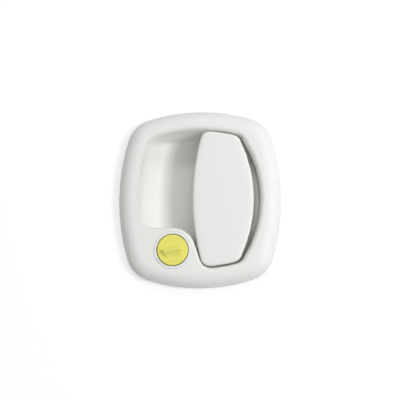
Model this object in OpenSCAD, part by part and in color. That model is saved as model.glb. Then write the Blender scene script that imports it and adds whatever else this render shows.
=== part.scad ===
// Exterior door handle with a recessed finger pocket, a hinged pull paddle and a hand-turned lock insert.
// Sizes are in millimetres. The door's outer skin is the XZ plane, the handle faces -Y and +Z is up.
// Sub-parts are drawn lying on their back (x right, y up the door, z towards the user) and then stood up.

/* [Bezel] */
// Width of the bezel across the door
bezel_w = 120; // [110:1:140]
// Height of the bezel up the door
bezel_h = 131; // [124:1:150]
// Radius of the bowed left and right sides
side_r = 152; // [110:1:180]
// Radius of the bowed upper and lower sides
end_r = 126; // [110:1:180]
// Radius of the four corners
corner_r = 22.5; // [18:0.5:26]
// Height of the crown above the door skin
crown_h = 11; // [9:0.5:14]
// Height of the upright rim at the outer edge, above the gasket
edge_h = 2.5; // [1.5:0.1:4]
// Rounding between the upright rim and the dome
edge_round = 1.5; // [0.5:0.1:2.5]
// Width of the domed border, from the outer edge to the crown
dome_w = 11.1; // [10:0.1:12]
// Wall thickness of the moulding
wall = 2.5; // [2:0.1:3]

/* [Finger pocket] */
// Border between the bezel's left edge and the pocket
left_border = 12; // [11.5:0.1:16]
// Border between the bezel's right edge and the pocket
right_border = 11.3; // [10.8:0.1:11.6]
// Border above and below the pocket
end_border = 11.1; // [11:0.1:12.5]
// Radius of the pocket's left side
pocket_left_r = 140; // [100:1:150]
// Radius of the pocket's upper and lower sides
pocket_end_r = 112.5; // [100:0.5:150]
// Radius of the pocket's right side, beside the paddle
pocket_right_r = 85; // [80:1:110]
// Radius of the pocket's corners on the right, beside the paddle
pocket_corner_r = 11; // [10.5:0.5:13]
// Radius of the pocket's corners on the left
pocket_left_corner = 13; // [10.5:0.5:14]
// Depth of the pocket floor below the crown
pocket_depth = 22; // [19:0.5:26]
// Slope of the pocket walls, in degrees
pocket_draft = 12; // [8:1:14]
// Rounding of the pocket's rim
rim_round = 3; // [2:0.1:3]
// Rounding where the walls meet the floor
floor_round = 4; // [2:0.5:5]
// Radius of the scooped left end
scoop_r = 20; // [16:0.5:20]
// Depth of the shelf behind the paddle, below the crown
shelf_depth = 13; // [12:0.5:14]
// Reach of the hinge bay to the left of the pin
bay_reach = 15.5; // [15:0.5:17]

/* [Paddle] */
// Distance from the lock's axis to the paddle's left edge at mid height
paddle_from_lock = 14.6; // [14.6:0.1:18]
// Gap between the paddle's right edge and the pocket's rim line
paddle_side_gap = 8.4; // [8.2:0.1:9]
// Gap between the paddle's ends and the pocket's rim line
paddle_end_gap = 4.4; // [4.2:0.1:5]
// Radius of the paddle's left edge
paddle_left_r = 171; // [140:1:220]
// Radius of the paddle's right edge
paddle_right_r = 99; // [92:1:120]
// Radius of the paddle's left corners
paddle_left_corner = 6.5; // [5:0.5:8]
// Radius of the paddle's right corners
paddle_right_corner = 8; // [5:0.5:9]
// How far the paddle's face stands proud of the crown
paddle_proud = 1; // [0:0.1:2]
// Depth of the paddle's side walls
paddle_t = 7; // [6:0.1:8]
// Wall thickness of the paddle cover
paddle_wall = 2.4; // [1.8:0.1:2.8]
// Rounding of the paddle's front edge
paddle_round = 1.8; // [0.8:0.1:2.2]

/* [Hinge] */
// Distance from the hinge pin to the paddle's right edge at mid height
pin_inset = 8.8; // [8.5:0.1:9.2]
// Depth of the hinge pin below the crown
pin_depth = 10.5; // [10.5:0.1:11]
// Diameter of the hinge pin
pin_d = 4; // [3:0.1:4.4]
// Distance between the inner faces of the two hinge ears
ear_gap = 48; // [48:0.5:50]
// Thickness of each hinge ear
ear_t = 4; // [3:0.5:5]
// Outer radius of the ears and lugs round the pin
ear_r = 4.2; // [4:0.1:4.4]
// Running clearance round the hinge pin
pin_clear = 0.04; // [0.02:0.01:0.08]
// Width of the lever's tail
tail_w = 10; // [8:0.5:10.5]
// Thickness of the lever's tail
tail_t = 4.4; // [3:0.1:5]
// Reach of the lever's tail behind the door skin
tail_reach = 36; // [28:1:50]
// Wire diameter of the return spring
spring_wire = 1.2; // [0.8:0.1:1.2]
// Number of full turns in the return spring
spring_turns = 4; // [2:1:4]

/* [Lock] */
// Distance of the lock's axis from the bezel's left edge
lock_in_x = 40.8; // [38:0.1:42]
// Distance of the lock's axis from the bezel's lower edge
lock_in_y = 27.6; // [26.5:0.1:29]
// Radius of the raised lobe round the lock
lobe_r = 16.4; // [15.8:0.1:16.6]
// Rounding of the lobe's rim
lobe_round = 2; // [1.5:0.1:2.2]
// Direction in which the lobe's right side turns down towards the paddle, in degrees
lobe_turn = 20; // [16:1:20]
// Diameter of the lock insert's face
insert_d = 22.6; // [20:0.1:23]
// Diameter of the lock housing's ring
ring_d = 27.4; // [27:0.1:27.8]
// Diameter of the lock rotor
rotor_d = 16; // [14:0.5:17]
// Length of the lock housing behind its ring
housing_l = 15.2; // [13:0.2:20]
// Length of the finger bar on the insert
bar_l = 15; // [12:0.5:18]
// Thickness of the finger bar
bar_t = 2.4; // [1.5:0.1:3]
// Height of the finger bar above the insert's face
bar_h = 3.4; // [1.5:0.1:4]
// Tilt of the finger bar at rest, in degrees
bar_tilt = 9; // [0:1:15]
// Running clearance round the lock rotor
rotor_clear = 0.05; // [0.03:0.01:0.08]
// Reach of the lock's drive blade behind the door skin
blade_reach = 34; // [26:1:50]

/* [Fixing to the door] */
// Distance of the fixing bosses from the bezel's outline at its corners
boss_inset = 10.2; // [10:0.1:11]
// Direction of a fixing boss from its corner's centre, in degrees
boss_turn = 35; // [30:1:40]
// Outer radius of a fixing boss
boss_r = 4.4; // [4:0.1:4.6]
// Reach of the bosses behind the door skin
boss_reach = 8; // [6:0.5:12]
// Core diameter of the thread in each insert
thread_core_d = 3.3; // [2.5:0.1:4]
// Outer diameter of the threaded inserts
insert_od = 5.6; // [5:0.1:6]
// Thickness of the flange gasket
gasket_t = 1.5; // [1:0.1:3]
// Width of the flange gasket
gasket_w = 4.4; // [3:0.1:4.6]

/* [Hidden] */
$fn = 64;
// Steps along each bowed side, corner, rounded edge, dome, pocket wall and floor rounding
side_steps = 8;
corner_steps = 5;
edge_steps = 4;
dome_steps = 6;
wall_steps = 4;
floor_steps = 3;
// Smallest radius that a corner keeps as it goes down
corner_min = 0.8;
// Clearance of a fitted piece in its seat
FIT = 0.05;
// Clearance of a flat seat that only locates
SEAT = 0.1;
// How far a cut runs past the face that it opens
OVER = 3;

pocket_left = bezel_w / 2 - left_border;
pocket_right = bezel_w / 2 - right_border;
pocket_half_h = bezel_h / 2 - end_border;
lock_x = lock_in_x - bezel_w / 2;
lock_y = lock_in_y - bezel_h / 2;
paddle_left = -lock_x - paddle_from_lock;
paddle_right = pocket_right - paddle_side_gap;
pin_x = paddle_right - pin_inset;
bulkhead_x = pin_x - bay_reach;
crown = crown_h;
floor_z = crown - pocket_depth;
tub_back = floor_z - wall;
shelf_z = crown - shelf_depth;
pin_z = crown - pin_depth;
paddle_front = crown + paddle_proud;
paddle_back = paddle_front - paddle_t;

// An outline is four bowed sides, anticlockwise from the right: [centre, radius], and four corner radii
function bowed(right, top, left, bottom, rr, rt, rl, rb, corners) = [
    [[[right - rr, 0], rr], [[0, top - rt], rt], [[rl - left, 0], rl], [[0, rb - bottom], rb]],
    corners
];
bezel_line = bowed(bezel_w / 2, bezel_h / 2, bezel_w / 2, bezel_h / 2,
    side_r, end_r, side_r, end_r, [for (k = [0:3]) corner_r]);
pocket_line = bowed(pocket_right, pocket_half_h, pocket_left, pocket_half_h,
    pocket_right_r, pocket_end_r, pocket_left_r, pocket_end_r,
    [pocket_corner_r, pocket_left_corner, pocket_left_corner, pocket_corner_r]);
paddle_half_h = pocket_half_h - paddle_end_gap;
paddle_end_r = pocket_end_r - paddle_end_gap;
paddle_line = bowed(paddle_right, paddle_half_h, paddle_left, paddle_half_h,
    paddle_right_r, paddle_end_r, paddle_left_r, paddle_end_r,
    [paddle_right_corner, paddle_left_corner, paddle_left_corner, paddle_right_corner]);

// Centre of the corner arc that touches sides k and k + 1 of an outline from inside
function corner_centre(line, k) =
    let (a = line[0][k], b = line[0][(k + 1) % 4], c = line[1][k])
    let (ra = a[1] - c, rb = b[1] - c, step = b[0] - a[0], d = norm(step))
    let (along = (ra * ra - rb * rb + d * d) / (2 * d), off = sqrt(ra * ra - along * along))
    a[0] + (along * step + off * [-step.y, step.x]) / d;
function heading(v) = atan2(v.y, v.x);

// Points along an arc, without the last one, which starts the next arc
function arc(centre, r, from, to, steps) = [for (i = [0:steps - 1])
    let (a = from + (to - from) * i / steps)
    centre + r * [cos(a), sin(a)]];
function left_turn(from, to) = from + (to - from + 720) % 360;

// Points of an outline, moved inwards
function outline(line, inset = 0) =
    let (centres = [for (k = [0:3]) corner_centre(line, k)])
    [for (k = [0:3])
        let (side = line[0][k], after = line[0][(k + 1) % 4])
        let (from = heading(centres[(k + 3) % 4] - side[0]))
        let (to = left_turn(from, heading(centres[k] - side[0])))
        let (end = left_turn(to, heading(centres[k] - after[0])))
        each concat(
            arc(side[0], side[1] - inset, from, to, side_steps),
            arc(centres[k], line[1][k] - inset, to, end, corner_steps)
        )];
function at_height(points, z) = [for (p = points) [p.x, p.y, z]];

function middle(points) = [for (p = points) 1] * points / len(points);

// Joins rings of points, from the first to the last, into a solid whose ends close on their middles
module loft(rings) {
    n = len(rings[0]);
    last = len(rings) - 1;
    end = n * len(rings);
    points = concat([for (ring = rings) each ring], [middle(rings[0]), middle(rings[last])]);
    faces = [
        for (k = [0:n - 1]) [end, k, (k + 1) % n],
        for (i = [0:last - 1], k = [0:n - 1])
            let (a = i * n + k, b = i * n + (k + 1) % n)
            [a, a + n, b + n, b],
        for (k = [0:n - 1]) [end + 1, last * n + (k + 1) % n, last * n + k]
    ];
    polyhedron(points, faces);
}

// A solid whose outline follows a section, a list of [inset, height] from the back to the front
module follow(line, section) {
    loft([for (level = section) at_height(outline(line, level.x), level.y)]);
}

// A flat plate inside an outline
module plate(line, inset, low, high) {
    translate([0, 0, low])
        linear_extrude(high - low)
            polygon(outline(line, inset));
}

// Stands a piece up from its back onto the door
module on_door() {
    rotate([90, 0, 0])
        children();
}

// A quarter of a disc, on the side of its centre that dir points to
module quarter(at, r, dir) {
    intersection() {
        translate(at)
            circle(r);
        translate([at.x - (dir.x < 0 ? r : 0), at.y - (dir.y < 0 ? r : 0)])
            square(r);
    }
}

// A block between two corners
module block(low, high) {
    translate(low)
        cube(high - low);
}

// The domed border: an arc that touches the crown, rounded into the upright rim
dome_rise = crown - gasket_t - edge_h;
dome_r = (dome_w * dome_w + dome_rise * dome_rise) / (2 * dome_rise);
dome_centre = [dome_w, crown - dome_r];
edge_lean = asin((dome_w - edge_round) / (dome_r - edge_round));
edge_centre = [edge_round, dome_centre.y + (dome_r - edge_round) * cos(edge_lean)];
// Points of a section's arc, turning from the outline's side to straight up
function shoulder(centre, r, from, to, steps) = [for (i = [0:steps])
    let (a = from + (to - from) * i / steps)
    centre + r * [-sin(a), cos(a)]];
dome_section = concat(
    [[0, gasket_t]],
    shoulder(edge_centre, edge_round, 90, edge_lean, edge_steps),
    [for (i = [1:dome_steps]) shoulder(dome_centre, dome_r, edge_lean, 0, dome_steps)[i]]
);
hollow_r = dome_r - wall;
hollow_section = concat(
    [[wall, gasket_t - OVER]],
    shoulder(dome_centre, hollow_r, asin((dome_w - wall) / hollow_r), 0, dome_steps)
);
module flange_shell() {
    difference() {
        follow(bezel_line, dome_section);
        follow(bezel_line, hollow_section);
    }
}

// The pocket's wall: rounded rim, slope and rounded floor, as [inset, height] from the floor up
wall_dir = [cos(pocket_draft), sin(pocket_draft)];
rim_centre = [0, crown - rim_round];
rim_touch = rim_centre + rim_round * wall_dir;
wall_run = (rim_touch.y - floor_z - floor_round * (1 - wall_dir.y)) / wall_dir.x;
floor_touch = rim_touch + wall_run * [wall_dir.y, -wall_dir.x];
floor_centre = floor_touch + floor_round * wall_dir;
function bowl(r) = [for (i = [0:floor_steps])
    let (a = (90 - pocket_draft) * i / floor_steps)
    floor_centre - r * [sin(a), cos(a)]];
pocket_section = concat(
    bowl(floor_round),
    [for (i = [1:wall_steps - 1]) floor_touch + (rim_touch - floor_touch) * i / wall_steps],
    [for (i = [0:edge_steps])
        let (a = pocket_draft + (90 - pocket_draft) * i / edge_steps)
        rim_centre + rim_round * [cos(a), sin(a)]],
    [[0, crown + OVER]]
);
tub_foot = floor_touch - wall * wall_dir;
tub_head = [tub_foot.x - (rim_centre.y - tub_foot.y) * tan(pocket_draft), rim_centre.y];
tub_section = concat(
    bowl(floor_round + wall),
    [for (i = [1:wall_steps]) tub_foot + (tub_head - tub_foot) * i / wall_steps]
);

// The left end is scooped out: how far the scoop lies from the pocket's left end at a height
scoop_z = floor_z + scoop_r;
scoop_in = rim_touch.x + sqrt(scoop_r ^ 2 - (scoop_z - rim_touch.y) ^ 2);
function scoop_at(z, r) = scoop_in - sqrt(max(r ^ 2 - (scoop_z - z) ^ 2, 0));

// One ring of the pocket: bowed like its outline, with the lobe round the lock standing into it
function pocket_ring(inset, z, left_in, lobe_in) =
    let (right = pocket_line[0][0], top = pocket_line[0][1])
    let (left = pocket_line[0][2], base = pocket_line[0][3])
    let (rr = right[1] - inset, rt = top[1] - inset, rl = left[1] - left_in, rb = base[1] - inset)
    let (c = max(pocket_corner_r - inset, corner_min), cl = max(pocket_left_corner - inset, corner_min))
    let (lobe = lobe_r - lobe_round + lobe_in)
    let (line = [[[right[0], rr], [top[0], rt], [left[0], rl], [base[0], rb]], [c, cl, cl, c]])
    let (rt_at = corner_centre(line, 0), tl_at = corner_centre(line, 1), br_at = corner_centre(line, 3))
    let (lock = [lock_x, lock_y], out = [cos(lobe_turn), sin(lobe_turn)], down = [out.y, -out.x])
    let (bl_y = lock_y + lobe + cl, bl_at = [left[0].x - sqrt((rl - cl) ^ 2 - bl_y ^ 2), bl_y])
    let (w = lock + (lobe + c) * out - base[0], wd = w * down)
    let (foot_at = base[0] + w + (sqrt(wd ^ 2 - w * w + (rb - c) ^ 2) - wd) * down)
    let (a0 = heading(br_at - right[0]), a1 = left_turn(a0, heading(rt_at - right[0])))
    let (a2 = left_turn(a1, heading(rt_at - top[0])), a3 = left_turn(a2, heading(tl_at - top[0])))
    let (a4 = left_turn(a3, heading(tl_at - left[0])), a5 = left_turn(a4, heading(bl_at - left[0])))
    let (a6 = lobe_turn + 180, a7 = left_turn(a6, heading(foot_at - base[0])))
    let (a8 = left_turn(a7, heading(br_at - base[0])), a9 = left_turn(a8, a0))
    at_height(concat(
        arc(right[0], rr, a0, a1, side_steps),
        arc(rt_at, c, a1, a2, corner_steps),
        arc(top[0], rt, a2, a3, side_steps),
        arc(tl_at, cl, a3, a4, corner_steps),
        arc(left[0], rl, a4, a5, side_steps),
        arc(bl_at, cl, a5, 270, corner_steps),
        [bl_at - [0, cl]],
        arc(lock, lobe, 90, lobe_turn, side_steps),
        [lock + lobe * out],
        arc(foot_at, c, a6, a7, corner_steps),
        arc(base[0], rb, a7, a8, side_steps),
        arc(br_at, c, a8, a9, corner_steps)
    ), z);
module pocket_space() {
    loft([for (level = pocket_section)
        let (lobe_in = min(level.x / rim_touch.x, 1) * lobe_round)
        pocket_ring(level.x, level.y, max(level.x, scoop_at(level.y, scoop_r)), lobe_in)]);
}
module tub() {
    loft([for (level = tub_section)
        pocket_ring(level.x, level.y, max(level.x, scoop_at(level.y, scoop_r + wall)), lobe_round - wall)]);
}

// Ring on the back of the flange that carries the gasket's inner edge
gasket_inset = 0.8;
land_w = 1.6;
module gasket_land() {
    inner = gasket_inset + gasket_w;
    roof = dome_centre.y + sqrt(hollow_r ^ 2 - (dome_w - inner) ^ 2);
    difference() {
        plate(bezel_line, inner - land_w, gasket_t, roof + wall / 4);
        plate(bezel_line, inner, gasket_t - OVER, crown);
    }
}

// The shelf behind the paddle stands on a skirt, which closes the bay where the hinge works
skirt_inset = 3.6;
bay_inset = skirt_inset + wall;
bay_left = bulkhead_x + wall;
shelf_back = shelf_z - wall;
module right_of(x, inset, low, high) {
    intersection() {
        plate(pocket_line, inset, low, high);
        block([x, -bezel_h, low - OVER], [bezel_w, bezel_h, high + OVER]);
    }
}

// Opening in the shelf for the hinge, inside the paddle's outline, with room beside the ears
window_reach = 7.5;
window_spare = 1.5;
pin_spare = 3.5;
ear_spare = 0.4;
window_left = pin_x - window_reach;
ear_out = ear_gap / 2 + ear_t;
pin_end = ear_out + pin_spare;
module hinge_window() {
    low = shelf_back - OVER;
    high = shelf_z + OVER;
    half_h = pin_end + window_spare;
    ear_half_h = ear_out + ear_spare;
    intersection() {
        plate(paddle_line, ear_spare, low, high);
        block([window_left, -half_h, low - OVER], [bezel_w, half_h, high + OVER]);
    }
    block([window_left, -ear_half_h, low], [pin_x + ear_r + ear_spare, ear_half_h, high]);
}

fixing_at = corner_centre(bezel_line, 0) + (corner_r - boss_inset) * [cos(boss_turn), sin(boss_turn)];
fixing_places = [for (sx = [-1, 1], sy = [-1, 1]) [sx * fixing_at.x, sy * fixing_at.y]];
insert_l = 8;
module fixing_bosses() {
    for (p = fixing_places)
        translate([p.x, p.y, -boss_reach])
            cylinder(r = boss_r, h = boss_reach + crown - wall);
}
module fixing_holes() {
    for (p = fixing_places)
        translate([p.x, p.y, -boss_reach - OVER])
            cylinder(d = insert_od + 2 * FIT, h = OVER + insert_l + FIT);
}

// Lock heights, down from the crown
ring_proud = 0.3;
cup_depth = 4.8;
seal_t = 0.6;
cup_floor = crown - cup_depth - seal_t;
cup_web = 2.5;
barrel_wall = 2.6;
barrel_d = rotor_d + 2 * barrel_wall;
cup_wall = 1.8;
housing_end = crown - cup_depth - housing_l;
module at_lock(z = 0) {
    translate([lock_x, lock_y, z])
        children();
}
module lock_cup() {
    at_lock(cup_floor - cup_web)
        cylinder(d = ring_d + 2 * (SEAT + cup_wall), h = crown - wall / 2 - cup_floor + cup_web);
}
module lock_holes() {
    at_lock(cup_floor)
        cylinder(d = ring_d + 2 * SEAT, h = crown - cup_floor + OVER);
    at_lock(cup_floor - cup_web - OVER)
        cylinder(d = barrel_d + 2 * SEAT, h = cup_web + 2 * OVER);
}

// Posts for the carrier screws behind the shelf, and for the rubber bumpers on it
post_r = 3.2;
post_sink = 1;
screw_core_r = 1.5;
left_post_y = 24;
right_post_y = 18;
right_post_out = 7;
bumper_out = 3.8;
bumper_y = 28.5;
post_places = [for (sy = [-1, 1])
    each [[bay_left + post_r - post_sink, sy * left_post_y], [pin_x + right_post_out, sy * right_post_y]]];
bumper_places = [for (sy = [-1, 1]) [bulkhead_x + bumper_out, sy * bumper_y]];
bumper_post_r = 3.5;
bumper_stem_r = 1.5;
bumper_l = 3.6;
bumper_gap = 0.3;
lever_recess = 0.2;
lever_back = paddle_back + lever_recess;
bumper_seat = lever_back - bumper_gap - bumper_l;
module shelf_posts() {
    for (p = post_places)
        translate([p.x, p.y, tub_back])
            cylinder(r = post_r, h = shelf_back - tub_back + wall / 2);
    for (p = bumper_places)
        translate([p.x, p.y, shelf_back + wall / 2])
            cylinder(r = bumper_post_r, h = bumper_seat - shelf_back - wall / 2);
}
module post_holes() {
    for (p = post_places)
        translate([p.x, p.y, tub_back - OVER])
            cylinder(r = screw_core_r, h = screw_l + OVER);
    for (p = bumper_places)
        translate([p.x, p.y, shelf_z])
            cylinder(r = bumper_stem_r + FIT, h = bumper_seat - shelf_z + OVER);
}

module bezel() {
    color("white")
        on_door()
            difference() {
                union() {
                    difference() {
                        union() {
                            difference() {
                                union() {
                                    flange_shell();
                                    tub();
                                    gasket_land();
                                    fixing_bosses();
                                    lock_cup();
                                }
                                pocket_space();
                            }
                            right_of(bulkhead_x, skirt_inset, tub_back, shelf_z);
                        }
                        right_of(bay_left, bay_inset, tub_back - OVER, shelf_back);
                        hinge_window();
                    }
                    shelf_posts();
                }
                post_holes();
                lock_holes();
                fixing_holes();
            }
}

module flange_gasket() {
    color("#202224")
        on_door()
            difference() {
                plate(bezel_line, gasket_inset, 0, gasket_t);
                plate(bezel_line, gasket_inset + gasket_w, -OVER, gasket_t + OVER);
            }
}

module threaded_inserts() {
    color("#c9a24b")
        on_door()
            for (p = fixing_places)
                translate([p.x, p.y, -boss_reach])
                    difference() {
                        cylinder(d = insert_od, h = insert_l);
                        translate([0, 0, -OVER])
                            cylinder(d = thread_core_d, h = insert_l + 2 * OVER);
                    }
}

// Plate behind the hinge bay with the two ears that hold the pin
carrier_t = 3;
slot_left = 11.5;
slot_right = 3.4;
slot_spare = 0.7;
slot_half = tail_w / 2 + slot_spare;
leg_stop_w = 2;
module ear_outline(r) {
    circle(r);
    polygon([[-r, 0], [r, 0], [r, tub_back - pin_z], [-2 * r, tub_back - pin_z]]);
}
module along_pin(y) {
    translate([pin_x, y, pin_z])
        rotate([90, 0, 0])
            children();
}
module hinge_carrier() {
    carrier_back = tub_back - carrier_t;
    color("#3a3d40")
        on_door()
            difference() {
                union() {
                    right_of(bulkhead_x + FIT, skirt_inset + FIT, carrier_back, tub_back);
                    for (y = [ear_out, -ear_gap / 2])
                        along_pin(y)
                            linear_extrude(ear_t)
                                ear_outline(ear_r);
                    leg_stop();
                }
                block([pin_x - slot_left, -slot_half, carrier_back - OVER],
                    [pin_x + slot_right, slot_half, tub_back + OVER]);
                along_pin(ear_out + OVER)
                    cylinder(d = pin_d + FIT, h = 2 * (ear_out + OVER));
                for (p = post_places)
                    translate([p.x, p.y, carrier_back - OVER])
                        cylinder(r = screw_core_r + FIT, h = carrier_t + 2 * OVER);
            }
}

// A pan head screw pointing up, its head's bearing face at z = 0
module pan_screw(core_r, shank_l, head_r, head_h) {
    slot_w = head_r / 3;
    slot_l = head_r * 1.2;
    difference() {
        union() {
            cylinder(r = core_r, h = shank_l);
            intersection() {
                translate([0, 0, -head_h])
                    cylinder(r = head_r, h = head_h);
                translate([0, 0, head_r * 2 - head_h])
                    sphere(head_r * 2);
            }
        }
        for (a = [0, 90])
            rotate(a)
                translate([-slot_l / 2, -slot_w / 2, -head_h - OVER])
                    cube([slot_l, slot_w, OVER + head_h / 2]);
    }
}
screw_l = 8;
screw_tip_gap = 1;
carrier_head = [2.8, 1.8];
screw_shank = carrier_t + screw_l - screw_tip_gap;
module carrier_screws() {
    color("silver")
        on_door()
            for (p = post_places)
                translate([p.x, p.y, tub_back - carrier_t])
                    pan_screw(screw_core_r - FIT, screw_shank, carrier_head[0], carrier_head[1]);
}

clip_t = 0.8;
clip_groove = 0.5;
clip_mouth = 1.7;
clip_neck_r = pin_d / 2 - clip_groove;
clip_y = ear_out + FIT;
module hinge_pin() {
    color("silver")
        on_door()
            along_pin(pin_end)
                difference() {
                    cylinder(d = pin_d, h = 2 * pin_end);
                    for (y = [pin_end - clip_y - clip_t, pin_end + clip_y])
                        translate([0, 0, y - FIT])
                            difference() {
                                cylinder(r = pin_d, h = clip_t + 2 * FIT);
                                translate([0, 0, -OVER])
                                    cylinder(r = clip_neck_r, h = clip_t + 2 * OVER);
                            }
                }
}

// A retaining ring that is open on one side
module open_ring(inner_r, outer_r, mouth, t) {
    difference() {
        cylinder(r = outer_r, h = t);
        translate([0, 0, -OVER])
            cylinder(r = inner_r, h = t + 2 * OVER);
        translate([0, -mouth / 2, -OVER])
            cube([outer_r * 2, mouth, t + 2 * OVER]);
    }
}
module pin_clips() {
    color("dimgray")
        on_door()
            for (y = [clip_y + clip_t, -clip_y])
                along_pin(y)
                    open_ring(clip_neck_r + FIT, pin_d, clip_neck_r * clip_mouth, clip_t);
}

module paddle_bumpers() {
    color("#202224")
        on_door()
            for (p = bumper_places)
                translate([p.x, p.y, bumper_seat]) {
                    rotate_extrude()
                        intersection() {
                            translate([0, bumper_l - bumper_post_r * 2])
                                circle(bumper_post_r * 2);
                            square([bumper_post_r - bumper_gap, bumper_l]);
                        }
                    translate([0, 0, shelf_z - bumper_seat + wall / 4])
                        cylinder(r = bumper_stem_r, h = bumper_seat - shelf_z);
                }
}

// Section of the paddle cover's outside: upright side, rounded edge and a slightly crowned face
paddle_crown = 0.4;
paddle_soft_in = 5;
cover_section = concat(
    [[0, paddle_back]],
    shoulder([paddle_round, paddle_front - paddle_crown - paddle_round], paddle_round, 90, 0, edge_steps),
    [[paddle_soft_in, paddle_front]]
);
cover_inside = paddle_front - paddle_crown - paddle_wall;
lever_t = 2.5;
lever_front = lever_back + lever_t;
lever_side_gap = 0.4;
lever_inset = paddle_wall + lever_side_gap;
paddle_post_r = 3;
paddle_core_r = 1.1;
paddle_screw_l = 5;
paddle_head = [2.3, 1.4];
paddle_tip_gap = 0.5;
paddle_post_in = 11.6;
paddle_post_x = [paddle_post_in - paddle_left, window_left];
paddle_post_y = [33, 34];
paddle_screws_at = [for (sy = [-1, 1], k = [0, 1]) [paddle_post_x[k], sy * paddle_post_y[k]]];
module paddle_cover() {
    color("white")
        on_door()
            difference() {
                union() {
                    difference() {
                        follow(paddle_line, cover_section);
                        plate(paddle_line, paddle_wall, paddle_back - OVER, cover_inside);
                    }
                    for (p = paddle_screws_at)
                        translate([p.x, p.y, lever_front])
                            cylinder(r = paddle_post_r, h = cover_inside - lever_front + paddle_wall / 2);
                }
                for (p = paddle_screws_at)
                    translate([p.x, p.y, lever_front - OVER])
                        cylinder(r = paddle_core_r, h = OVER + paddle_screw_l - lever_t);
            }
}

// Inner plate of the paddle with its two hinge lugs and the tail that works the latch
lug_gap = 1;
lug_t = 6;
lug_out = ear_gap / 2 - lug_gap;
bush_wall = 1;
bush_r = pin_d / 2 + bush_wall;
lug_more = 0.3;
lug_r = ear_r + lug_more;
tail_pin_clear = 0.3;
module lug(y, t, r) {
    along_pin(y)
        linear_extrude(t) {
            circle(r);
            translate([-r, 0])
                square([2 * r, lever_back - pin_z + lever_t / 2]);
        }
}
module paddle_lever() {
    color("#b9bcc0")
        on_door()
            difference() {
                union() {
                    plate(paddle_line, lever_inset, lever_back, lever_front);
                    lug(lug_out, lug_t, lug_r);
                    lug(lug_t - lug_out, lug_t, lug_r);
                    lug(tail_w / 2, tail_w, ear_r);
                    block([pin_x - tail_t / 2, -tail_w / 2, -tail_reach],
                        [pin_x + tail_t / 2, tail_w / 2, pin_z]);
                }
                for (y = [lug_out, lug_t - lug_out])
                    along_pin(y + OVER)
                        cylinder(r = bush_r + FIT, h = lug_t + 2 * OVER);
                along_pin(tail_w / 2 + OVER)
                    cylinder(r = pin_d / 2 + tail_pin_clear, h = tail_w + 2 * OVER);
                for (p = paddle_screws_at)
                    translate([p.x, p.y, lever_back - OVER])
                        cylinder(r = paddle_core_r + FIT, h = lever_t + 2 * OVER);
            }
}

paddle_shank = paddle_screw_l - paddle_tip_gap;
module paddle_screws() {
    color("silver")
        on_door()
            for (p = paddle_screws_at)
                translate([p.x, p.y, lever_back])
                    pan_screw(paddle_core_r - FIT, paddle_shank, paddle_head[0], paddle_head[1]);
}

bush_flange = lug_gap - 2 * FIT;
bush_flange_in = 0.2;
module hinge_bushes() {
    color("ivory")
        on_door()
            for (side = [-1, 1])
                translate([pin_x, side * lug_out, pin_z])
                    rotate([-90 * side, 0, 0])
                        difference() {
                            union() {
                                cylinder(r = ear_r - bush_flange_in, h = bush_flange);
                                translate([0, 0, -lug_t])
                                    cylinder(r = bush_r, h = lug_t + bush_flange / 2);
                            }
                            translate([0, 0, -lug_t - OVER])
                                cylinder(r = pin_d / 2 + pin_clear, h = lug_t + 2 * OVER);
                        }
}

// Torsion spring on the pin: a leg down to the carrier, the coil, and a leg under the lever
coil_clear = 1.1;
coil_side_gap = 1.2;
coil_gap = 0.9;
leg_turn = 90;
coil_r = pin_d / 2 + coil_clear + spring_wire / 2;
coil_start = slot_half + coil_side_gap;
coil_pitch = spring_wire + coil_gap;
coil_turn = 360 * spring_turns + leg_turn;
coil_l = coil_pitch * coil_turn / 360;
leg_reach = 6;
ring_step = 18;
wire_sides = 8;
function on_coil(t) = [pin_x + coil_r * cos(180 - t), coil_start + coil_l * t / coil_turn,
    pin_z + coil_r * sin(180 - t)];
function wire_ring(p, t) = [for (k = [0:wire_sides - 1])
    let (a = 360 * k / wire_sides)
    p + spring_wire / 2 * [cos(a) * cos(180 - t), sin(a), cos(a) * sin(180 - t)]];
module return_spring() {
    foot = [on_coil(0).x, coil_start, tub_back + FIT];
    tip = on_coil(coil_turn) + [leg_reach, 0, 0];
    rings = [
        wire_ring(foot, 0),
        for (t = [0:ring_step:coil_turn]) wire_ring(on_coil(t), t),
        wire_ring(tip, coil_turn)
    ];
    color("gray")
        on_door()
            loft(rings);
}
module leg_stop() {
    foot = on_coil(0);
    right = foot.x - spring_wire / 2 - FIT;
    block([right - leg_stop_w, coil_start - spring_wire, tub_back - FIT],
        [right, coil_start + spring_wire, (tub_back + shelf_back) / 2]);
}

// Lock pieces, turned round the lock's own axis
insert_gap = 0.6;
insert_proud = 1;
head_depth = 3.3;
head_gap = 0.3;
counterbore_d = insert_d + 2 * insert_gap;
face_z = crown + insert_proud;
head_back = crown - head_depth;
counterbore_z = head_back - head_gap;
module lock_housing() {
    bore_r = rotor_d / 2 + rotor_clear;
    color("#e9e9e6")
        on_door()
            at_lock()
                rotate_extrude()
                    polygon([
                        [bore_r, housing_end],
                        [barrel_d / 2, housing_end],
                        [barrel_d / 2, crown - cup_depth],
                        [ring_d / 2, crown - cup_depth],
                        [ring_d / 2, crown],
                        [ring_d / 2 - ring_proud, crown + ring_proud],
                        [counterbore_d / 2, crown + ring_proud],
                        [counterbore_d / 2, counterbore_z],
                        [bore_r, counterbore_z]
                    ]);
}

module housing_seal() {
    color("#202224")
        on_door()
            at_lock(cup_floor)
                difference() {
                    cylinder(d = ring_d, h = seal_t);
                    translate([0, 0, -OVER])
                        cylinder(d = barrel_d + 4 * SEAT, h = seal_t + 2 * OVER);
                }
}

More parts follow.
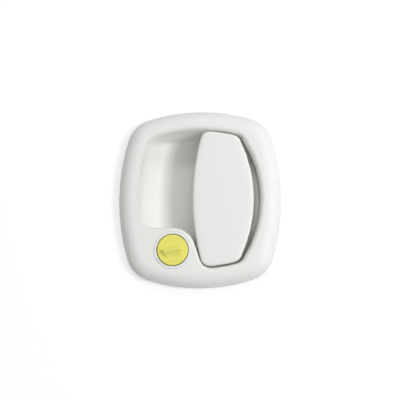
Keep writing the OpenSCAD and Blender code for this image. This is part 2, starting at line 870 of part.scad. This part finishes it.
nut_h = 3.2;
nut_wall = 2.5;
module lock_nut() {
    color("silver")
        on_door()
            at_lock(cup_floor - cup_web - nut_h)
                difference() {
                    cylinder(d = barrel_d + 2 * nut_wall, h = nut_h, $fn = 6);
                    translate([0, 0, -OVER])
                        cylinder(d = barrel_d + 2 * FIT, h = nut_h + 2 * OVER);
                }
}

rotor_wall = 2.5;
shank_d = rotor_d - 2 * rotor_wall;
shank_l = 10;
module lock_insert() {
    soft = 0.8;
    color("#e4e274")
        on_door()
            at_lock() {
                rotate_extrude() {
                    translate([0, head_back])
                        square([insert_d / 2, face_z - soft - head_back]);
                    translate([0, head_back])
                        square([insert_d / 2 - soft, face_z - head_back]);
                    quarter([insert_d / 2 - soft, face_z - soft], soft, [1, 1]);
                    translate([0, head_back - shank_l])
                        square([shank_d / 2, shank_l]);
                }
                rotate(bar_tilt)
                    finger_bar();
            }
}
// The finger bar leans in at its ends and sides, and is rooted in the insert's face
bar_root = 0.5;
bar_end_lean = 1.2;
bar_side_lean = 0.4;
module leaning(foot, lean) {
    polygon([[-foot / 2, 0], [foot / 2, 0], [foot / 2 - lean, bar_h + bar_root],
        [lean - foot / 2, bar_h + bar_root]]);
}
module finger_bar() {
    foot = face_z - bar_root;
    intersection() {
        translate([0, bar_t / 2, foot])
            rotate([90, 0, 0])
                linear_extrude(bar_t)
                    leaning(bar_l, bar_end_lean);
        translate([-bar_l / 2, 0, foot])
            rotate([90, 0, 90])
                linear_extrude(bar_l)
                    leaning(bar_t, bar_side_lean);
    }
}

seal_up = 4;
seal_groove_z = head_back - shank_l + seal_up;
seal_section = 1.5;
seal_groove_r = rotor_d / 2 - seal_section - FIT;
rotor_clip_t = 1;
rotor_clip_groove = 1;
rotor_clip_out = 2.2;
rotor_clip_mouth = 1.4;
rotor_neck_r = rotor_d / 2 - rotor_clip_groove;
rotor_tail = 3;
rotor_end = housing_end - rotor_tail;
blade_w = 7;
blade_t = 1.6;
blade_seat = 7;
tail_pin_up = 4.6;
tail_pin_z = rotor_end + tail_pin_up;
tail_pin_r = 1;
tail_pin_in = 0.3;
module lock_rotor() {
    clip_top = housing_end - FIT;
    color("silver")
        on_door()
            at_lock()
                difference() {
                    translate([0, 0, rotor_end])
                        cylinder(d = rotor_d, h = head_back - rotor_end);
                    translate([0, 0, head_back - shank_l - FIT])
                        cylinder(d = shank_d + 2 * FIT, h = shank_l + OVER);
                    rotor_groove(seal_groove_r, seal_groove_z - seal_section / 2 - FIT,
                        seal_section + 2 * FIT);
                    rotor_groove(rotor_neck_r, clip_top - rotor_clip_t - FIT, rotor_clip_t + 2 * FIT);
                    block([-blade_w / 2 - FIT, -blade_t / 2 - FIT, rotor_end - OVER],
                        [blade_w / 2 + FIT, blade_t / 2 + FIT, rotor_end + blade_seat]);
                    translate([0, rotor_d, tail_pin_z])
                        rotate([90, 0, 0])
                            cylinder(r = tail_pin_r + FIT, h = 2 * rotor_d);
                }
}
module rotor_groove(r, z, w) {
    translate([0, 0, z])
        difference() {
            cylinder(d = 2 * rotor_d, h = w);
            translate([0, 0, -OVER])
                cylinder(r = r, h = w + 2 * OVER);
        }
}

module rotor_o_ring() {
    color("#202224")
        on_door()
            at_lock(seal_groove_z)
                rotate_extrude()
                    translate([(rotor_d - seal_section) / 2, 0])
                        circle(d = seal_section);
}

rotor_clip_r = rotor_d / 2 + rotor_clip_out;
clip_opening = rotor_neck_r * rotor_clip_mouth;
module rotor_clip() {
    color("dimgray")
        on_door()
            at_lock(housing_end - FIT - rotor_clip_t)
                rotate(-90)
                    open_ring(rotor_neck_r + FIT, rotor_clip_r, clip_opening, rotor_clip_t);
}

module drive_blade() {
    color("silver")
        on_door()
            at_lock()
                difference() {
                    block([-blade_w / 2, -blade_t / 2, -blade_reach],
                        [blade_w / 2, blade_t / 2, rotor_end + blade_seat - FIT]);
                    translate([0, blade_w, tail_pin_z])
                        rotate([90, 0, 0])
                            cylinder(r = tail_pin_r + FIT, h = 2 * blade_w);
                }
}

module blade_pin() {
    l = rotor_d - 2 * tail_pin_in;
    color("dimgray")
        on_door()
            at_lock(tail_pin_z)
                translate([0, l / 2, 0])
                    rotate([90, 0, 0])
                        cylinder(r = tail_pin_r, h = l);
}

bezel();
flange_gasket();
threaded_inserts();
hinge_carrier();
carrier_screws();
hinge_pin();
pin_clips();
paddle_bumpers();
lock_housing();
housing_seal();
lock_nut();
paddle_cover();
paddle_lever();
paddle_screws();
hinge_bushes();
return_spring();
lock_insert();
lock_rotor();
rotor_o_ring();
rotor_clip();
drive_blade();
blade_pin();
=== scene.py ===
"""Looks of the exterior door handle: skins over the CAD frame, finishes, stage, light and camera."""

import math

import bpy
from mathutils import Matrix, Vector


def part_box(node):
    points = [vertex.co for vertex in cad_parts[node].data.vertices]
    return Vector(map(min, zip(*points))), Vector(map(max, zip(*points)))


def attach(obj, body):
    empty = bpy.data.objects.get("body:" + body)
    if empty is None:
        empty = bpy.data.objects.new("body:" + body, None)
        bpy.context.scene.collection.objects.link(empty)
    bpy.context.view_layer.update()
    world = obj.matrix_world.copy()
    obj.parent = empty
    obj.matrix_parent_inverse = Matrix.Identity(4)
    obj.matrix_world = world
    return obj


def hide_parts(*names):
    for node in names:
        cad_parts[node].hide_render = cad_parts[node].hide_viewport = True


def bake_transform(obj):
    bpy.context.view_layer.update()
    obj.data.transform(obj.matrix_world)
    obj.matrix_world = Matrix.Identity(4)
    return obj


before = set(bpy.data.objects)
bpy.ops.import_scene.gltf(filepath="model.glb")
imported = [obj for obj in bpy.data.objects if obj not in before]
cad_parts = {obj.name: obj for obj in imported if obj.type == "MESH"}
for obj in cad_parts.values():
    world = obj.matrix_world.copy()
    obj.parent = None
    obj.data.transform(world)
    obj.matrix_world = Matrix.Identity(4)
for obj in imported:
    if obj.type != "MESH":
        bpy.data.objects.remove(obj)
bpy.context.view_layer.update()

MM = 0.001

# Skins: corners closer than MERGE become one, faces within the flat angle join, edges below the soft angle
# are shaded smooth, rounded edges have a few steps, and large faces set the shading
MERGE = 2e-6
FLAT_ANGLE = math.radians(0.05)
SOFT_ANGLE = math.radians(36)
ROUND_STEPS = 2
LARGE_FACE_WEIGHT = 100

# Body and finish of each rigid CAD node
NODE_LOOKS = {
    "bezel": ("mounting", "white_moulding"),
    "flange_gasket": ("mounting", "rubber"),
    "threaded_inserts": ("mounting", "brass"),
    "hinge_carrier": ("mounting", "grey_moulding"),
    "carrier_screws": ("mounting", "steel"),
    "hinge_pin": ("mounting", "steel"),
    "pin_clips": ("mounting", "spring_steel"),
    "paddle_bumpers": ("mounting", "rubber"),
    "lock_housing": ("mounting", "white_moulding"),
    "housing_seal": ("mounting", "rubber"),
    "lock_nut": ("mounting", "steel"),
    "paddle_cover": ("paddle", "white_moulding"),
    "paddle_lever": ("paddle", "casting"),
    "paddle_screws": ("paddle", "steel"),
    "hinge_bushes": ("paddle", "bush_moulding"),
    "lock_insert": ("lock", "yellow_moulding"),
    "lock_rotor": ("lock", "casting"),
    "rotor_o_ring": ("lock", "rubber"),
    "rotor_clip": ("lock", "spring_steel"),
    "drive_blade": ("lock", "steel"),
    "blade_pin": ("lock", "steel"),
}
# Edge rounding in millimetres, for nodes whose solid has sharp edges that show
EDGE_ROUND = {
    "lock_insert": 0.55,
    "lock_housing": 0.2,
    "hinge_carrier": 0.3,
    "paddle_lever": 0.3,
    "drive_blade": 0.15,
    "lock_nut": 0.2,
    "lock_rotor": 0.2,
    "pin_clips": 0.1,
    "rotor_clip": 0.12,
    "threaded_inserts": 0.15,
    "hinge_pin": 0.2,
}

# Finger bar of the insert, lengths in millimetres: height, tilt, and its flank's length at ridge and foot
BAR_HEIGHT = 3.4
BAR_TILT = math.radians(9)
RIDGE_LENGTH = 13.2
FOOT_LENGTH = 10.8
# The flank's ridge lies this far below the insert's axis and behind the bar's top, its foot this far
# below the ridge, and its back this deep in the insert's face
FLANK_DROP = 0.5
FLANK_SINK = 0.1
FLANK_REACH = 4.7
FLANK_ROOT = 0.4
# Share of the flank's lower front edge that is hollowed out, in per cent, in how many steps and how deep
HOLLOW_SHARE = 95
HOLLOW_STEPS = 8
HOLLOW_PROFILE = 0.16

# Board, in metres: half its side, half its cut-out across and up, and its gap behind the flange
BOARD_HALF = 1.5
CUT_HALF = (0.046, 0.052)
BOARD_GAP = 0.0002
FACING_FRONT = math.radians(-90)
BOARD_GLOW = 0.57

# Light and camera
LAMP_TINT = (1.0, 0.985, 1.03)
SURROUND_STRENGTH = 0.43
SENSOR = 36
NEAREST = 0.01
FARTHEST = 20


def principled(name, colour, roughness, metallic=0.0):
    """A new material and its shader node."""
    material = bpy.data.materials.new(name)
    material.use_nodes = True
    shader = material.node_tree.nodes["Principled BSDF"]
    shader.inputs["Base Color"].default_value = (*colour, 1)
    shader.inputs["Roughness"].default_value = roughness
    shader.inputs["Metallic"].default_value = metallic
    return material, shader


def noise(material, scale):
    """Noise over the piece's own coordinates, in metres."""
    nodes, links = material.node_tree.nodes, material.node_tree.links
    place = nodes.new("ShaderNodeTexCoord")
    texture = nodes.new("ShaderNodeTexNoise")
    texture.inputs["Scale"].default_value = scale
    links.new(place.outputs["Object"], texture.inputs["Vector"])
    return texture


def add_bump(material, shader, scale, strength, depth):
    """A fine uneven surface, its depth in millimetres."""
    nodes, links = material.node_tree.nodes, material.node_tree.links
    bump = nodes.new("ShaderNodeBump")
    bump.inputs["Strength"].default_value = strength
    bump.inputs["Distance"].default_value = depth * MM
    links.new(noise(material, scale).outputs["Fac"], bump.inputs["Height"])
    links.new(bump.outputs["Normal"], shader.inputs["Normal"])


def add_wear(material, shader, scale, low, high):
    """Roughness that drifts between two values."""
    nodes, links = material.node_tree.nodes, material.node_tree.links
    spread = nodes.new("ShaderNodeMapRange")
    spread.inputs["To Min"].default_value = low
    spread.inputs["To Max"].default_value = high
    links.new(noise(material, scale).outputs["Fac"], spread.inputs["Value"])
    links.new(spread.outputs["Result"], shader.inputs["Roughness"])


def white_moulding():
    """Satin white plastic of the bezel, the paddle's face and the ring round the lock."""
    material, shader = principled("white_moulding", (0.825, 0.838, 0.795), roughness=0.5)
    shader.inputs["Specular IOR Level"].default_value = 0.3
    add_bump(material, shader, scale=2600, strength=0.05, depth=0.02)
    add_wear(material, shader, scale=60, low=0.5, high=0.6)
    return material


def yellow_moulding():
    """Glossier yellow plastic of the hand-turned insert."""
    material, shader = principled("yellow_moulding", (0.80, 0.77, 0.15), roughness=0.26)
    add_bump(material, shader, scale=2200, strength=0.04, depth=0.02)
    add_wear(material, shader, scale=80, low=0.22, high=0.3)
    return material


def grey_moulding():
    """Dark filled plastic of the hinge carrier."""
    material, shader = principled("grey_moulding", (0.045, 0.047, 0.05), roughness=0.55)
    add_bump(material, shader, scale=1800, strength=0.15, depth=0.03)
    add_wear(material, shader, scale=60, low=0.5, high=0.62)
    return material


def bush_moulding():
    """Pale bearing plastic of the hinge bushes."""
    material, shader = principled("bush_moulding", (0.66, 0.62, 0.5), roughness=0.45)
    add_bump(material, shader, scale=1500, strength=0.08, depth=0.02)
    return material


def rubber():
    """Black rubber of the gasket, the seals and the bumpers."""
    material, shader = principled("rubber", (0.018, 0.018, 0.019), roughness=0.7)
    add_bump(material, shader, scale=2000, strength=0.2, depth=0.03)
    return material


def casting():
    """Grey die-cast metal of the lever and the rotor."""
    material, shader = principled("casting", (0.42, 0.43, 0.45), roughness=0.42, metallic=1.0)
    add_bump(material, shader, scale=900, strength=0.2, depth=0.04)
    add_wear(material, shader, scale=150, low=0.36, high=0.52)
    return material


def steel():
    """Bright plated steel of the pins, screws, nut and blade."""
    material, shader = principled("steel", (0.52, 0.53, 0.55), roughness=0.28, metallic=1.0)
    add_bump(material, shader, scale=700, strength=0.06, depth=0.02)
    add_wear(material, shader, scale=200, low=0.22, high=0.36)
    return material


def spring_steel():
    """Dark steel of the clips and the return spring."""
    material, shader = principled("spring_steel", (0.24, 0.245, 0.26), roughness=0.32, metallic=1.0)
    add_bump(material, shader, scale=900, strength=0.08, depth=0.02)
    return material


def brass():
    """Brass of the threaded inserts."""
    material, shader = principled("brass", (0.72, 0.5, 0.2), roughness=0.3, metallic=1.0)
    add_bump(material, shader, scale=900, strength=0.1, depth=0.02)
    add_wear(material, shader, scale=200, low=0.25, high=0.4)
    return material


def only(obj):
    """Selects one object and makes it the active one."""
    bpy.ops.object.select_all(action="DESELECT")
    obj.select_set(True)
    bpy.context.view_layer.objects.active = obj


def apply_modifier(obj, kind, **settings):
    """Adds a modifier with these settings and applies it."""
    only(obj)
    modifier = obj.modifiers.new(kind.title(), kind)
    for name, value in settings.items():
        setattr(modifier, name, value)
    bpy.ops.object.modifier_apply(modifier=modifier.name)


def merged_copy(node):
    """A copy of a CAD node with its corners and its flat faces joined."""
    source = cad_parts[node]
    copy = bpy.data.objects.new(node + "_skin", source.data.copy())
    copy.data.name = node + "_skin"
    bpy.context.scene.collection.objects.link(copy)
    only(copy)
    bpy.ops.mesh.customdata_custom_splitnormals_clear()
    bpy.ops.object.mode_set(mode="EDIT")
    bpy.ops.mesh.select_all(action="SELECT")
    bpy.ops.mesh.mark_sharp(clear=True)
    bpy.ops.mesh.remove_doubles(threshold=MERGE)
    bpy.ops.mesh.dissolve_limited(angle_limit=FLAT_ANGLE)
    bpy.ops.object.mode_set(mode="OBJECT")
    return copy


def soften(obj, edge=0.0):
    """Rounds the hard edges a little, then shades the rest smooth."""
    if edge:
        apply_modifier(obj, "BEVEL", width=edge * MM, segments=ROUND_STEPS, limit_method="ANGLE",
                       angle_limit=SOFT_ANGLE, use_clamp_overlap=True)
    only(obj)
    bpy.ops.object.shade_smooth_by_angle(angle=SOFT_ANGLE)
    apply_modifier(obj, "WEIGHTED_NORMAL", mode="FACE_AREA", weight=LARGE_FACE_WEIGHT, keep_sharp=True)


def finish_piece(obj, slot):
    """Gives a piece its material."""
    obj.data.materials.clear()
    obj.data.materials.append(materials[slot])


def dress_nodes():
    """A softened skin over every rigid CAD node."""
    for node, (body, slot) in NODE_LOOKS.items():
        skin = merged_copy(node)
        soften(skin, EDGE_ROUND.get(node, 0.0))
        finish_piece(skin, slot)
        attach(skin, body)
        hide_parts(node)


def dress_spring():
    """The return spring between the carrier and the paddle, as a softened skin fixed where it is modelled.
    """
    skin = merged_copy("return_spring")
    soften(skin)
    finish_piece(skin, "spring_steel")
    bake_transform(skin)
    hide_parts("return_spring")


def pick(obj, test):
    """Selects the corners of a mesh that a test accepts, and goes into edit mode."""
    bpy.ops.object.mode_set(mode="EDIT")
    bpy.ops.mesh.select_mode(type="VERT")
    bpy.ops.mesh.select_all(action="DESELECT")
    bpy.ops.object.mode_set(mode="OBJECT")
    for corner in obj.data.vertices:
        corner.select = test(corner.co)
    bpy.ops.object.mode_set(mode="EDIT")


def add_bar_flank():
    """The hollow flank below the insert's finger bar, which the solid's plain bar lacks."""
    low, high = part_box("lock_insert")
    depth = BAR_HEIGHT - FLANK_SINK + FLANK_ROOT
    bpy.ops.object.select_all(action="DESELECT")
    bpy.ops.mesh.primitive_cube_add(size=MM, location=(0, 0, 0))
    flank = bpy.context.object
    flank.name = flank.data.name = "finger_bar_flank"
    bpy.ops.object.mode_set(mode="EDIT")
    bpy.ops.transform.resize(value=(RIDGE_LENGTH, depth, FLANK_REACH), center_override=(0, 0, 0))
    pick(flank, lambda place: place.z < 0)
    bpy.ops.transform.resize(value=(FOOT_LENGTH / RIDGE_LENGTH, 1, 1), center_override=(0, 0, 0))
    pick(flank, lambda place: place.z < 0 and place.y < 0)
    bpy.ops.mesh.bevel(offset_type="PERCENT", offset_pct=HOLLOW_SHARE, segments=HOLLOW_STEPS,
                       profile=HOLLOW_PROFILE)
    bpy.ops.mesh.select_all(action="SELECT")
    bpy.ops.transform.translate(value=(0, 0, -(FLANK_DROP + FLANK_REACH / 2) * MM))
    bpy.ops.transform.rotate(value=BAR_TILT, orient_axis="Y", center_override=(0, 0, 0))
    middle = low.y + (FLANK_SINK + depth / 2) * MM
    bpy.ops.transform.translate(value=((low.x + high.x) / 2, middle, (low.z + high.z) / 2))
    bpy.ops.object.mode_set(mode="OBJECT")
    soften(flank)
    finish_piece(flank, "yellow_moulding")
    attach(flank, "lock")


def seen_light(tree, unseen, seen):
    """A strength where the camera, a reflection or glass shows it, and another for the light it gives."""
    rays = tree.nodes.new("ShaderNodeLightPath")
    shown = rays.outputs["Is Camera Ray"]
    for kind in ("Is Glossy Ray", "Is Transmission Ray"):
        either = tree.nodes.new("ShaderNodeMath")
        either.operation = "MAXIMUM"
        tree.links.new(shown, either.inputs[0])
        tree.links.new(rays.outputs[kind], either.inputs[1])
        shown = either.outputs["Value"]
    spread = tree.nodes.new("ShaderNodeMapRange")
    spread.inputs["To Min"].default_value = unseen
    spread.inputs["To Max"].default_value = seen
    tree.links.new(shown, spread.inputs["Value"])
    return spread.outputs["Result"]


def open_from_behind(material, shader):
    """Leaves a one-sided surface clear on its back."""
    nodes, links = material.node_tree.nodes, material.node_tree.links
    side = nodes.new("ShaderNodeNewGeometry")
    clear = nodes.new("ShaderNodeBsdfTransparent")
    either = nodes.new("ShaderNodeMixShader")
    links.new(side.outputs["Backfacing"], either.inputs["Fac"])
    links.new(shader.outputs["BSDF"], either.inputs[1])
    links.new(clear.outputs["BSDF"], either.inputs[2])
    links.new(either.outputs["Shader"], nodes["Material Output"].inputs["Surface"])


def board_finish():
    """Matt grey that glows to a pale ground where it is seen, and is clear from behind."""
    material, shader = principled("board", (0.5, 0.5, 0.5), roughness=0.9)
    shader.inputs["Specular IOR Level"].default_value = 0
    shader.inputs["Emission Color"].default_value = (1, 1, 1, 1)
    glow = seen_light(material.node_tree, unseen=0, seen=BOARD_GLOW)
    material.node_tree.links.new(glow, shader.inputs["Emission Strength"])
    open_from_behind(material, shader)
    return material


def add_board():
    """The pale ground that the flange lies on, cut out behind the handle."""
    bpy.ops.object.select_all(action="DESELECT")
    bpy.ops.mesh.primitive_plane_add(size=2 * BOARD_HALF, location=(0, 0, 0))
    board = bpy.context.object
    board.name = "board"
    bpy.ops.object.mode_set(mode="EDIT")
    bpy.ops.mesh.inset(thickness=BOARD_HALF - CUT_HALF[0], depth=0)
    bpy.ops.transform.resize(value=(1, CUT_HALF[1] / CUT_HALF[0], 1), center_override=(0, 0, 0))
    bpy.ops.mesh.delete(type="FACE")
    bpy.ops.mesh.select_all(action="SELECT")
    bpy.ops.transform.rotate(value=FACING_FRONT, orient_axis="X", center_override=(0, 0, 0))
    bpy.ops.transform.translate(value=(0, BOARD_GAP, 0))
    bpy.ops.object.mode_set(mode="OBJECT")
    board.data.materials.append(board_finish())


def add_light(name, place, size, power, colour=(1, 1, 1)):
    """A square soft light that faces the middle of the handle."""
    bpy.ops.object.light_add(type="AREA", location=place)
    light = bpy.context.object
    light.name = name
    light.data.size = size
    light.data.energy = power
    light.data.color = colour
    light.rotation_mode = "QUATERNION"
    light.rotation_quaternion = (-Vector(place)).to_track_quat("-Z", "Y")


def add_world():
    """A plain surround, white where the camera sees it."""
    world = bpy.data.worlds.new("surround")
    world.use_nodes = True
    tree = world.node_tree
    back = tree.nodes["Background"]
    back.inputs["Color"].default_value = (1, 1, 1, 1)
    strength = seen_light(tree, unseen=SURROUND_STRENGTH, seen=1)
    tree.links.new(strength, back.inputs["Strength"])
    bpy.context.scene.world = world


def add_camera(azimuth, elevation, distance, width):
    """A camera that sees a given width at the door skin."""
    turn = math.radians(azimuth)
    rise = math.radians(elevation)
    way = Vector((math.sin(turn) * math.cos(rise), -math.cos(turn) * math.cos(rise), math.sin(rise)))
    bpy.ops.object.camera_add(location=way * distance)
    camera = bpy.context.object
    camera.data.sensor_width = SENSOR
    camera.data.lens = SENSOR * distance / width
    camera.data.clip_start = NEAREST
    camera.data.clip_end = FARTHEST
    camera.rotation_mode = "QUATERNION"
    camera.rotation_quaternion = (-way).to_track_quat("-Z", "Y")
    bpy.context.scene.camera = camera


materials = {
    "white_moulding": white_moulding(),
    "yellow_moulding": yellow_moulding(),
    "grey_moulding": grey_moulding(),
    "bush_moulding": bush_moulding(),
    "rubber": rubber(),
    "casting": casting(),
    "steel": steel(),
    "spring_steel": spring_steel(),
    "brass": brass(),
}
dress_nodes()
dress_spring()
add_bar_flank()
add_board()
add_light("key", place=(0.86, -0.84, 0.0), size=0.3, power=7.5, colour=LAMP_TINT)
add_light("top", place=(0.0, -0.8, 0.95), size=0.2, power=2.8, colour=LAMP_TINT)
add_light("front", place=(0.1, -1.1, -0.6), size=0.6, power=0.9, colour=LAMP_TINT)
add_light("back", place=(0.5, 1.1, 0.6), size=0.8, power=12)
add_world()
add_camera(azimuth=5, elevation=-7, distance=0.8, width=0.297)
bpy.context.scene.view_settings.view_transform = "Standard"
